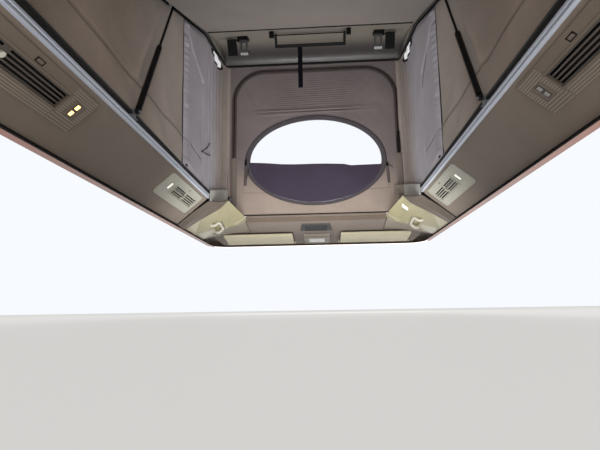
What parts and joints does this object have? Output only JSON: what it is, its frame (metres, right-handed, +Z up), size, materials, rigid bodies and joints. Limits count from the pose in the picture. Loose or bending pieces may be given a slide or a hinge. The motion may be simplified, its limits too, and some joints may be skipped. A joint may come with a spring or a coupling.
{
  "type": "camper van pop-up roof",
  "caption": "Camper van roof section with a rear-hinged pop-up top raised on gas struts, canvas sides with an oval window, inner linings, air vents and visors.",
  "frame": {"origin": "centre of the four flange bolts, on the underside of the roof's lower flange", "axes": "+X to the van's right, +Y towards the windscreen, +Z up"},
  "size_m": [1.6, 3.5497, 1.2384],
  "materials": {
    "roof_paint": "metallic copper orange, clear coated",
    "frame_steel": "black painted steel",
    "rail_aluminium": "bright extruded",
    "seal_rubber": "matt",
    "strut_black": "satin black",
    "bracket_silver": "zinc plated",
    "keder_black": "matt black",
    "lining_fabric": "needled felt",
    "corner_cream": "grained cream beige",
    "vent_plastic": "fine grain beige",
    "handle_plastic": "satin cream",
    "visor_fabric": "knitted cream cover",
    "visor_rod": "satin",
    "latch_black": "satin black",
    "strap_webbing": "black webbing",
    "canvas_taupe": "coated cotton weave",
    "zip_tape": "woven tape",
    "cover_taupe": "soft touch taupe",
    "console_dark": "fine grain black",
    "edge_grey": "matt grey",
    "hook_steel": "zinc plated",
    "trim_beige": "fine grain beige",
    "edge_black": "matt black"
  },
  "bodies": {
    "roof": {"cab_lining": "lining_fabric", "canvas_door": "canvas_taupe", "canvas_front": "canvas_taupe", "canvas_gusset_left": "canvas_taupe", "canvas_gusset_right": "canvas_taupe", "canvas_side_left": "canvas_taupe", "canvas_side_right": "canvas_taupe", "console_grille": "console_dark", "corner_cover_left": "cover_taupe", "corner_cover_right": "cover_taupe", "corner_panel_left": "corner_cream", "corner_panel_right": "corner_cream", "corner_trim_left": "trim_beige", "corner_trim_right": "trim_beige", "grab_handle_left": "handle_plastic", "grab_handle_right": "handle_plastic", "hinge_bases": "frame_steel", "opening_frame": "frame_steel", "overhead_console": "corner_cream", "rail_left": "rail_aluminium", "rail_right": "rail_aluminium", "rail_seals": "seal_rubber", "rear_lining": "lining_fabric", "roof_skin": "roof_paint", "side_lining_left": "lining_fabric", "side_lining_right": "lining_fabric", "strut_feet": "bracket_silver", "vent_front_left": "vent_plastic", "vent_front_right": "vent_plastic", "vent_rear_left": "vent_plastic", "vent_rear_right": "vent_plastic", "visor_rods": "visor_rod", "zip_band": "zip_tape"},
    "top": {"shell": "roof_paint", "keder_frame": "keder_black", "ceiling_panel": "lining_fabric", "nose_lining": "lining_fabric", "pull_bar_mount": "latch_black", "latch_housings": "latch_black", "strut_heads": "bracket_silver", "hinge_leaves": "frame_steel", "top_board_edge": "edge_black", "top_edge_lining": "edge_grey", "top_latch_hooks": "hook_steel"},
    "pull_bar": {"pull_bar": "latch_black", "pull_strap": "strap_webbing"},
    "strut_cylinder_left": {"strut_cylinder_left": "strut_black"},
    "strut_rod_left": {"strut_rod_left": "strut_black"},
    "latch_lever_left": {"latch_lever_left": "latch_black"},
    "sun_visor_left": {"sun_visor_left": "visor_fabric"},
    "strut_cylinder_right": {"strut_cylinder_right": "strut_black"},
    "strut_rod_right": {"strut_rod_right": "strut_black"},
    "latch_lever_right": {"latch_lever_right": "latch_black"},
    "sun_visor_right": {"sun_visor_right": "visor_fabric"}
  },
  "joints": [
    {"name": "roof_tilt", "type": "hinge", "parent": "roof", "child": "top", "pos_m": [0, -1.51, 0.178], "axis": [-1, 0, 0], "range_deg": [0, 22.4], "deforming": ["canvas_door", "canvas_front", "canvas_gusset_left", "canvas_gusset_right", "canvas_side_left", "canvas_side_right", "zip_band"]},
    {"name": "strut_turn_left", "type": "hinge", "parent": "roof", "child": "strut_cylinder_left", "pos_m": [-0.58, -0.255, 0.212], "axis": [-1, 0, 0], "range_deg": [0, 63.78]},
    {"name": "strut_slide_left", "type": "slide", "parent": "strut_cylinder_left", "child": "strut_rod_left", "axis": [0, -0.4305, -0.9026], "range_m": [0, 0.2695]},
    {"name": "strut_turn_right", "type": "hinge", "parent": "roof", "child": "strut_cylinder_right", "pos_m": [0.58, -0.255, 0.212], "axis": [-1, 0, 0], "range_deg": [0, 63.78]},
    {"name": "strut_slide_right", "type": "slide", "parent": "strut_cylinder_right", "child": "strut_rod_right", "axis": [0, -0.4305, -0.9026], "range_m": [0, 0.2695]},
    {"name": "pull_bar_fold", "type": "hinge", "parent": "top", "child": "pull_bar", "pos_m": [0, 0.64685, 1.07781], "axis": [1, 0, 0], "range_deg": [0, 64]},
    {"name": "latch_left", "type": "hinge", "parent": "top", "child": "latch_lever_left", "pos_m": [-0.467, 0.72435, 1.10759], "axis": [1, 0, 0], "range_deg": [0, 75]},
    {"name": "latch_right", "type": "hinge", "parent": "top", "child": "latch_lever_right", "pos_m": [0.467, 0.72435, 1.10759], "axis": [1, 0, 0], "range_deg": [0, 75]},
    {"name": "visor_left", "type": "hinge", "parent": "roof", "child": "sun_visor_left", "pos_m": [-0.4025, 1.53, 0.01], "axis": [1, 0, 0], "range_deg": [0, 100]},
    {"name": "visor_right", "type": "hinge", "parent": "roof", "child": "sun_visor_right", "pos_m": [0.4025, 1.53, 0.01], "axis": [1, 0, 0], "range_deg": [0, 100]}
  ],
  "couplings": [
    {"joint": "strut_turn_left", "follows": "roof_tilt", "ratio": 2.8463},
    {"joint": "strut_slide_left", "follows": "roof_tilt", "m_per_rad": 0.68813},
    {"joint": "strut_turn_right", "follows": "roof_tilt", "ratio": 2.8463},
    {"joint": "strut_slide_right", "follows": "roof_tilt", "m_per_rad": 0.68813}
  ]
}
